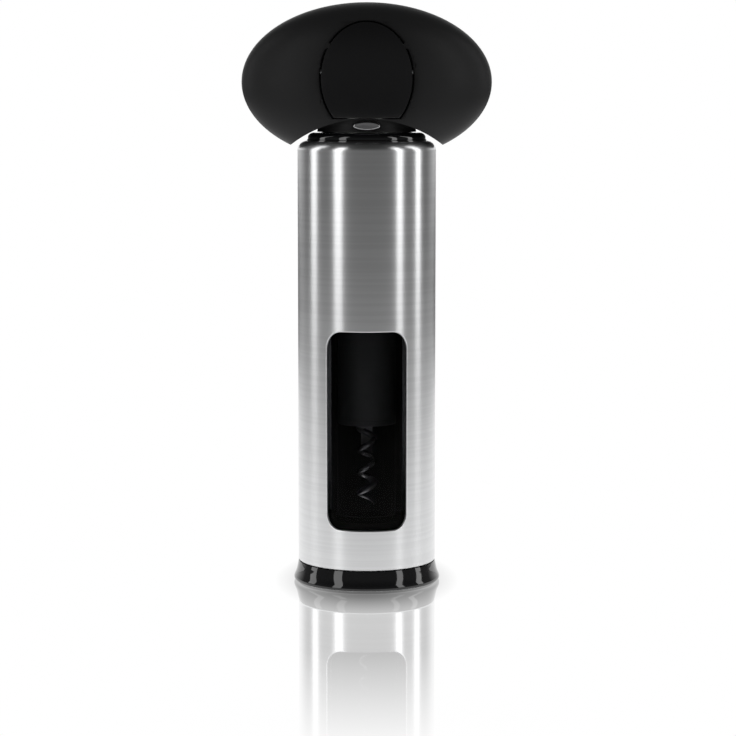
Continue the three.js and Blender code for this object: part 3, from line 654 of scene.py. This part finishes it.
# %% Turn the collar
collar = turned("gloss_collar", [
    (17.8, 165), (25.4, 165), (25.4, 167.6), (23.4, 167.6), (23.4, 174.0), (23.3, 174.3), (23.05, 174.5),
    (23.0, 174.7), (23.0, 175.3), (22.75, 175.9), (22.2, 176.45), (21.5, 176.8), (20.8, 176.95),
    (20, 177), (17.8, 177)], 160)
smooth(collar, 32)
place(collar, "housing", "gloss_black", "top_cap", gloss_black)

# %% [markdown]
# ## Winged handle
# The handle is two moulded shells, joined down the middle. A ball is pressed to a pebble: an ellipse from the
# front, thinner toward the rim and the wing tips. It is hollowed, notched round the shoulder, given its neck,
# and cut in two with a fine gap, so that the parting line is real.

# %% Press the pebble
RIM_ROUNDING, FACE_FULLNESS = 0.72, 0.92  # powers below 1 fill the ball out to a pebble
PARTING = 0.15  # half the fine gap between the shells


def pebble(name, grow=0.0, segments=128, rings=64):
    fresh()
    bpy.ops.mesh.primitive_uv_sphere_add(segments=segments, ring_count=rings, radius=MM)
    obj = bpy.context.object
    obj.name = name
    a, c, depth = HANDLE_A + grow, HANDLE_C + grow, HANDLE_DEPTH + grow
    for vertex in obj.data.vertices:
        x, y, z = [v / MM for v in vertex.co]
        across = math.hypot(x, y)
        reach = across ** RIM_ROUNDING if across > 1e-6 else 0.0
        side = reach * (x / across) if across > 1e-6 else 0.0
        up = reach * (y / across) if across > 1e-6 else 0.0
        out = -math.copysign(abs(z) ** FACE_FULLNESS, z) * depth
        px = a * side
        out *= 1 - HANDLE_TAPER * (px / TAPER_REACH) ** 2
        vertex.co = (px * MM, out * MM, (HANDLE_Z + c * up) * MM)
    return close_up(obj)


def oval_block(name, grow, y0, y1):
    """The pad's oval outline pushed through from y0 to y1, cut flat at its foot."""
    fresh()
    bpy.ops.mesh.primitive_circle_add(vertices=144, radius=MM, fill_type="NGON")
    obj = bpy.context.object
    obj.name = name
    obj.scale = (PAD_A + grow, PAD_C + grow, 1)
    obj.rotation_euler = (math.pi / 2, 0, 0)
    obj.location = (0, y1 * MM, PAD_Z * MM)
    settle(obj)
    in_edit(obj, bpy.ops.mesh.bisect, plane_co=(0, 0, (PAD_CUT - grow) * MM), plane_no=(0, 0, -1),
            clear_outer=True)
    in_edit(obj, bpy.ops.mesh.extrude_region_move, TRANSFORM_OT_translate={"value": (0, (y0 - y1) * MM, 0)})
    return close_up(obj)


handle = pebble("handle")
carve(handle, rod_y("notch", NOTCH_R, -40, 40, 0, NOTCH_Z, 512))
neck = turned("neck", [(10, 177.32), (19.3, 177.32), (19.25, 177.8), (19.0, 178.8), (18.9, 180), (19.0, 181.5),
                       (19.25, 183), (19.3, 187), (10, 187)], 128)
carve(handle, neck, "UNION")
hollow = pebble("hollow", -HANDLE_WALL, 96, 48)
carve(hollow, rod_y("inner_notch", NOTCH_R + HANDLE_WALL, -40, 40, 0, NOTCH_Z, 256))
carve(handle, hollow)
fresh()
bpy.ops.mesh.primitive_cylinder_add(vertices=96, radius=17.7 * MM, depth=18 * MM, location=(0, 0, 177 * MM))
carve(handle, settle(bpy.context.object))
print("handle faces", len(handle.data.polygons))

# %% Open the front and split the shells
carve(handle, oval_block("pad_well", PAD_GAP, -40, -10))
for x in (-31, 31):
    carve(handle, rod_y("screw_well", 2.7, 9, 30, x, HANDLE_Z, 48))


def oval_plug(name, grow, y0, y1):
    fresh()
    bpy.ops.mesh.primitive_circle_add(vertices=72, radius=MM, fill_type="NGON")
    obj = bpy.context.object
    obj.name = name
    obj.scale = (OVAL_A + grow, OVAL_C + grow, 1)
    obj.rotation_euler = (math.pi / 2, 0, 0)
    obj.location = (0, y1 * MM, OVAL_Z * MM)
    settle(obj)
    in_edit(obj, bpy.ops.mesh.extrude_region_move, TRANSFORM_OT_translate={"value": (0, (y0 - y1) * MM, 0)})
    return close_up(obj)


carve(handle, oval_plug("light_well", 0.25, -24, -17))


def skin_y(x, z):
    """Where the front of the pebble lies, in mm, at x and z."""
    across = min(math.hypot(x / HANDLE_A, (z - HANDLE_Z) / HANDLE_C), 1.0)
    lean = math.sqrt(max(1 - across ** (2 / RIM_ROUNDING), 0.0))
    return -HANDLE_DEPTH * lean ** FACE_FULLNESS * (1 - HANDLE_TAPER * (x / TAPER_REACH) ** 2)


# The rim of the pad's well is chamfered, and the chamfer polished.
RIM_NEAR, SKIN_NEAR, RIM_CHAMFER = 0.004, 0.35, 0.9
handle.data.materials.append(soft_black)
handle.data.materials.append(rim_gloss)
hold(handle)
bpy.ops.object.mode_set(mode="EDIT")
bpy.ops.mesh.select_mode(type="EDGE")
bpy.ops.mesh.select_all(action="DESELECT")
bpy.ops.object.mode_set(mode="OBJECT")
for edge in handle.data.edges:
    ends = [handle.data.vertices[i].co / MM for i in edge.vertices]
    on_rim = all(abs(math.hypot(v.x / (PAD_A + PAD_GAP), (v.z - PAD_Z) / (PAD_C + PAD_GAP)) - 1) < RIM_NEAR
                 and abs(v.y - skin_y(v.x, v.z)) < SKIN_NEAR for v in ends)
    edge.select = on_rim
well_edges = sum(e.select for e in handle.data.edges)
bpy.ops.object.mode_set(mode="EDIT")
bpy.ops.mesh.bevel(offset=RIM_CHAMFER * MM, segments=3, affect="EDGES", clamp_overlap=False, material=1)
bpy.ops.object.mode_set(mode="OBJECT")
print("chamfered rim edges", well_edges)
hold(handle)
bpy.ops.object.duplicate()
rear = bpy.context.object
handle.name, rear.name = "front_shell", "rear_shell"
carve(handle, slab("keep_front", -60, 60, -40, -PARTING, 160, 240), "INTERSECT")
carve(rear, slab("keep_rear", -60, 60, PARTING, 40, 160, 240), "INTERSECT")
for shell, node in ((handle, "handle_front_shell"), (rear, "handle_rear_shell")):
    close_up(shell)
    smooth(shell, 32)
    place(shell, "housing", "soft_black", node, soft_black, rim_gloss)

# %% [markdown]
# ## Rocker pad and status light
# The pad follows the handle's curve two millimetres proud, with a rounded edge that draws a thin bright line
# low on each side. The light under it is a small polished oval set in its own well.

# %% Shape the pad
pad = pebble("gloss_pad", PAD_PROUD, 160, 96)
carve(pad, pebble("pad_back", 0.0, 96, 48))
carve(pad, oval_block("pad_outline", 0.0, -40, -10), "INTERSECT")
close_up(pad)
pad.data.materials.clear()
for finish in (pad_gloss, rim_gloss):
    pad.data.materials.append(finish)
soften(pad, 0.8, 4, 50, edge_coat=1)
smooth(pad, 35)
place(pad, "rocker", "gloss_black", "rocker_pad", pad_gloss, rim_gloss)

# %% Shape the status light
light = oval_plug("oval_light", 0.0, -20.65, -18)
soften(light, 0.55, 4, 50)
smooth(light, 35)
place(light, "housing", "polished_chrome", "indicator_bezel", chrome)

# %% [markdown]
# ## Table, light and camera
# The opener stands on a white gloss table in front of a white wall, in a dark room. Two tall narrow lamps on
# each side draw the upright bright lines down the barrel. The table glows like a lit sheet round the opener's
# foot, which whitens the steel low down, and the camera also sees a faint mirror image in it and a painted
# shadow just in front of the foot.

# %% White table
SHEET_HEART = (0, 0.2, 0)  # the lit sheet reaches further behind the opener than before it
SHEET_ENDS, PAINTED_SHADOW_ENDS, MIRROR_ENDS = (0.38, 0.68), (0.03, 0.062), (0.126, 0.257)  # metres, near to far
TABLE_R = 6.0
fresh()
bpy.ops.mesh.primitive_circle_add(vertices=96, radius=TABLE_R, fill_type="NGON", location=(0, 0, 0))
table = bpy.context.object
table.name = "white_table"
table_white = bpy.data.materials.new("white_gloss_table")
table_white.use_nodes = True
tree = table_white.node_tree
link = tree.links.new
spot = tree.nodes.new("ShaderNodeTexCoord")
glow, mirror = tree.nodes.new("ShaderNodeEmission"), tree.nodes.new("ShaderNodeBsdfGlossy")
eye_path = tree.nodes.new("ShaderNodeLightPath")
reach, squash, front = [tree.nodes.new("ShaderNodeVectorMath") for _ in range(3)]
reach.operation, squash.operation, front.operation = "DISTANCE", "MULTIPLY", "LENGTH"
reach.inputs[1].default_value = SHEET_HEART
squash.inputs[1].default_value = (1.7, 1, 0)


def fade(x0, x1, y0, y1):
    """A ramp from y0 at x0 to y1 at x1."""
    node = tree.nodes.new("ShaderNodeMapRange")
    for label, value in zip(("From Min", "From Max", "To Min", "To Max"), (x0, x1, y0, y1)):
        node.inputs[label].default_value = value
    return node


def combine(kind, a, b):
    """One sum of two sockets, MULTIPLY or ADD."""
    node = tree.nodes.new("ShaderNodeMath")
    node.operation = kind
    link(a, node.inputs[0])
    link(b, node.inputs[1])
    return node.outputs[0]


sheet = fade(*SHEET_ENDS, 1.0, 0.08)  # light thrown on the opener comes from round its foot
painted_shadow = fade(*PAINTED_SHADOW_ENDS, 0.25, 1.0)  # a shadow painted on the sheet just in front of the foot, seen by the camera only
polish = fade(*MIRROR_ENDS, 0.48, 0.0)  # the mirror image fades away from the foot
link(spot.outputs["Object"], reach.inputs[0])
link(spot.outputs["Object"], squash.inputs[0])
link(squash.outputs[0], front.inputs[0])
link(reach.outputs["Value"], sheet.inputs["Value"])
link(front.outputs["Value"], polish.inputs["Value"])
link(front.outputs["Value"], painted_shadow.inputs["Value"])
# The camera sees the glow darkened by the painted shadow near the foot; other rays see the sheet's light.
seen = combine("MULTIPLY", eye_path.outputs["Is Camera Ray"], painted_shadow.outputs["Result"])
unseen = tree.nodes.new("ShaderNodeMath")
unseen.operation = "SUBTRACT"
unseen.inputs[0].default_value = 1.0
link(eye_path.outputs["Is Camera Ray"], unseen.inputs[1])
thrown = combine("MULTIPLY", unseen.outputs[0], sheet.outputs["Result"])
link(combine("ADD", seen, thrown), glow.inputs["Strength"])
blend = tree.nodes.new("ShaderNodeMixShader")
mirror.inputs["Roughness"].default_value = 0.03
mirror.inputs["Color"].default_value = (1, 1, 1, 1)
link(combine("MULTIPLY", eye_path.outputs["Is Camera Ray"], polish.outputs["Result"]), blend.inputs[0])
link(glow.outputs[0], blend.inputs[1])
link(mirror.outputs[0], blend.inputs[2])
link(blend.outputs[0], tree.nodes["Material Output"].inputs["Surface"])
tree.nodes.remove(tree.nodes["Principled BSDF"])
table.data.materials.append(table_white)

# %% Room: white wall behind, dark room in front
world = bpy.data.worlds.new("studio")
bpy.context.scene.world = world
world.use_nodes = True
tree = world.node_tree
tree.nodes.clear()
link = tree.links.new
out = tree.nodes.new("ShaderNodeOutputWorld")
seen, room = tree.nodes.new("ShaderNodeBackground"), tree.nodes.new("ShaderNodeBackground")
mix, path = tree.nodes.new("ShaderNodeMixShader"), tree.nodes.new("ShaderNodeLightPath")
where, split = tree.nodes.new("ShaderNodeTexCoord"), tree.nodes.new("ShaderNodeSeparateXYZ")
wall = fade(0.5, 0.85, 0.135, 1.0)  # from the dark room in front to the white wall behind
ceiling = fade(0.25, 0.7, 1.0, 0.25)  # and darker overhead
seen.inputs["Color"].default_value = (1, 1, 1, 1)
link(where.outputs["Generated"], split.inputs[0])
link(split.outputs["Y"], wall.inputs["Value"])
link(split.outputs["Z"], ceiling.inputs["Value"])
link(combine("MULTIPLY", wall.outputs["Result"], ceiling.outputs["Result"]), room.inputs["Color"])
link(path.outputs["Is Camera Ray"], mix.inputs[0])
link(room.outputs[0], mix.inputs[1])
link(seen.outputs[0], mix.inputs[2])
link(mix.outputs[0], out.inputs[0])


# %% Strip lamps
LAMP_AWAY, LAMP_TALL, LAMP_Z = 0.9, 1.1, 0.62


def strip(name, azimuth, width, power):
    """A tall lamp at azimuth degrees from the front, turned to face the barrel."""
    lamp = bpy.data.lights.new(name, "AREA")
    lamp.shape = "RECTANGLE"
    lamp.size, lamp.size_y, lamp.energy = width, LAMP_TALL, power
    obj = bpy.data.objects.new(name, lamp)
    bpy.context.scene.collection.objects.link(obj)
    turn = math.radians(azimuth)
    obj.location = (LAMP_AWAY * math.sin(turn), -LAMP_AWAY * math.cos(turn), LAMP_Z)
    obj.rotation_euler = (math.pi / 2, 0, turn)
    obj.visible_camera = False
    return obj


for name, azimuth, width, power in (("lamp_left", -48, 0.23, 1.95), ("lamp_right", 56, 0.17, 1.6),
                                    ("lamp_far_left", -97, 0.22, 1.55), ("lamp_far_right", 94, 0.18, 1.6)):
    lamp = strip(name, azimuth, width, power)
    print(lamp.name, "azimuth", azimuth, "watts", power)

# %% Camera
CAMERA_X, CAMERA_Y, CAMERA_Z, PITCH = 0.0005, -0.95, 0.1982, 6.83
LENS, SENSOR = 118.6, 36
camera = bpy.data.cameras.new("camera")
camera.lens = LENS
camera.sensor_width = SENSOR
eye = bpy.data.objects.new("camera", camera)
bpy.context.scene.collection.objects.link(eye)
eye.location = (CAMERA_X, CAMERA_Y, CAMERA_Z)
eye.rotation_euler = (math.pi / 2 - math.radians(PITCH), 0, 0)
bpy.context.scene.camera = eye
bpy.context.scene.view_settings.view_transform = "Standard"
bpy.context.scene.view_settings.look = "None"
